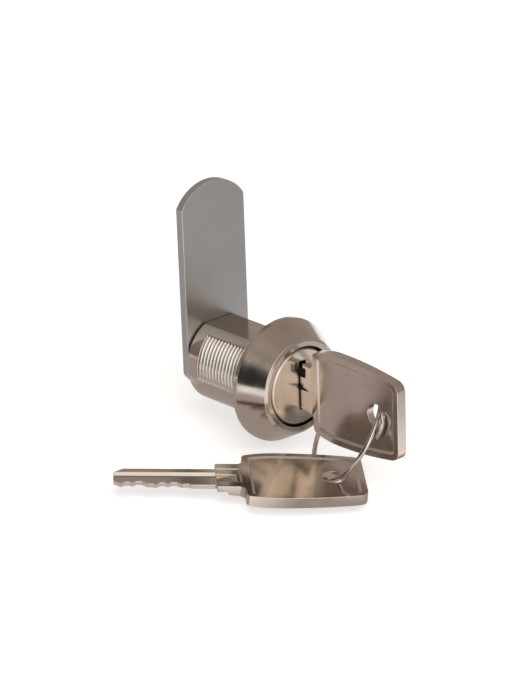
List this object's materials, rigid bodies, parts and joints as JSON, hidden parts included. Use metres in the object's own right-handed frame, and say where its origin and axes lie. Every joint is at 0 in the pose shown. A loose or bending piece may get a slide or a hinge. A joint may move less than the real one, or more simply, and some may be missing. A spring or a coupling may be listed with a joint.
{
  "type": "cam lock with keys",
  "caption": "Cam lock with a round head, flatted threaded barrel, flat swinging cam, wafer plug, and two flat keys on a wire ring.",
  "frame": {"origin": "centre of the head's back face, where the head seats on its panel", "axes": "+Y along the barrel from the head to the cam; the cam points up (+Z); the key enters from -Y"},
  "size_m": [0.0574, 0.0613, 0.0565],
  "materials": {
    "nickel_plate": "bright nickel plate on a zinc casting",
    "key_nickel": "nickel plated stamped key, slightly worn",
    "zinc_steel": "satin zinc plate on pressed steel",
    "steel_wire": "plated steel wire",
    "wafer_brass": "stamped brass",
    "spring_steel": "spring wire"
  },
  "bodies": {
    "housing": {"housing": "nickel_plate"},
    "plug": {"plug": "nickel_plate", "retainer": "wafer_brass", "retainer_spring": "spring_steel", "stop_washer": "zinc_steel", "cam": "zinc_steel", "lock_washer": "zinc_steel", "cam_screw": "zinc_steel", "wafer_spring_1": "spring_steel", "wafer_spring_2": "spring_steel", "wafer_spring_3": "spring_steel", "wafer_spring_4": "spring_steel", "wafer_spring_5": "spring_steel", "wafer_spring_6": "spring_steel"},
    "key": {"key_1": "key_nickel"},
    "ring": {"key_ring": "steel_wire"},
    "second_key": {"key_2": "key_nickel"},
    "wafer_1": {"wafer_1": "wafer_brass"},
    "wafer_2": {"wafer_2": "wafer_brass"},
    "wafer_3": {"wafer_3": "wafer_brass"},
    "wafer_4": {"wafer_4": "wafer_brass"},
    "wafer_5": {"wafer_5": "wafer_brass"},
    "wafer_6": {"wafer_6": "wafer_brass"}
  },
  "joints": [
    {"name": "plug_turn", "type": "hinge", "parent": "housing", "child": "plug", "pos_m": [0, 0, 0], "axis": [0, 1, 0], "range_deg": [0, 90]},
    {"name": "key_slide", "type": "slide", "parent": "plug", "child": "key", "axis": [0, -1, 0], "range_m": [0, 0.026]},
    {"name": "ring_swing", "type": "hinge", "parent": "key", "child": "ring", "pos_m": [0, -0.03005, 0.0003], "axis": [1, 0, 0], "range_deg": [-100, 0]},
    {"name": "second_key_swing", "type": "hinge", "parent": "ring", "child": "second_key", "pos_m": [-0.0072, -0.02336, -0.01431], "axis": [0.1, 0.874, -0.4755], "range_deg": [-20, 20]},
    {"name": "wafer_1_drop", "type": "slide", "parent": "plug", "child": "wafer_1", "axis": [0, 0, -1], "range_m": [0, 0.0009]},
    {"name": "wafer_2_drop", "type": "slide", "parent": "plug", "child": "wafer_2", "axis": [0, 0, -1], "range_m": [0, 0.0009]},
    {"name": "wafer_3_drop", "type": "slide", "parent": "plug", "child": "wafer_3", "axis": [0, 0, -1], "range_m": [0, 0.0009]},
    {"name": "wafer_4_drop", "type": "slide", "parent": "plug", "child": "wafer_4", "axis": [0, 0, -1], "range_m": [0, 0.0009]},
    {"name": "wafer_5_drop", "type": "slide", "parent": "plug", "child": "wafer_5", "axis": [0, 0, -1], "range_m": [0, 0.0009]},
    {"name": "wafer_6_drop", "type": "slide", "parent": "plug", "child": "wafer_6", "axis": [0, 0, -1], "range_m": [0, 0.0009]}
  ],
  "couplings": [
    {"joint": "wafer_1_drop", "follows": "key_slide", "ratio": 0.034615},
    {"joint": "wafer_2_drop", "follows": "key_slide", "ratio": 0.034615},
    {"joint": "wafer_3_drop", "follows": "key_slide", "ratio": 0.034615},
    {"joint": "wafer_4_drop", "follows": "key_slide", "ratio": 0.034615},
    {"joint": "wafer_5_drop", "follows": "key_slide", "ratio": 0.034615},
    {"joint": "wafer_6_drop", "follows": "key_slide", "ratio": 0.034615}
  ]
}
